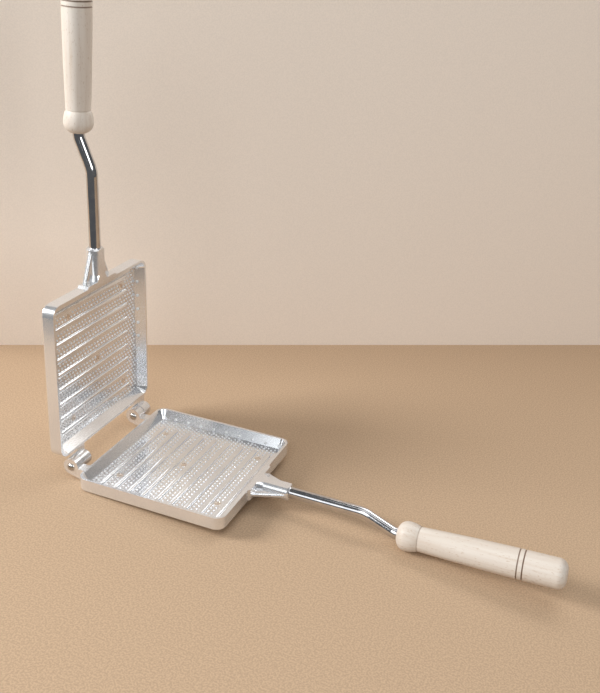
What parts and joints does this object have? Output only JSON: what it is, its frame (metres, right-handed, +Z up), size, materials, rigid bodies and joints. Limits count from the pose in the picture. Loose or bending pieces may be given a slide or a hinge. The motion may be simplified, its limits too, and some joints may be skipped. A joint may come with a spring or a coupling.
{
  "type": "pie iron",
  "caption": "Pie iron with two square cast pans, grooved inside and hinged along one side, each on a bent steel rod with a turned wooden grip.",
  "frame": {"origin": "middle of the bounding box on the ground that the open iron stands on", "axes": "+X from the hinge towards the lower grip, +Y along the hinge axis, +Z up"},
  "size_m": [0.4696, 0.14, 0.4279],
  "materials": {
    "pan": "cast, tumbled bright",
    "rod": "polished steel rod",
    "grip": "turned and sanded, pale",
    "rivet": "plain steel, domed head"
  },
  "bodies": {
    "lower_half": {"lower_pan": "pan", "lower_rod": "rod", "lower_grip": "grip", "near_rivet": "rivet", "far_rivet": "rivet"},
    "upper_half": {"upper_pan": "pan", "upper_rod": "rod", "upper_grip": "grip"}
  },
  "joints": [
    {"name": "hinge", "type": "hinge", "parent": "lower_half", "child": "upper_half", "pos_m": [-0.18401, 0, 0.01105], "axis": [0, 1, 0], "range_deg": [-90, 90]}
  ]
}
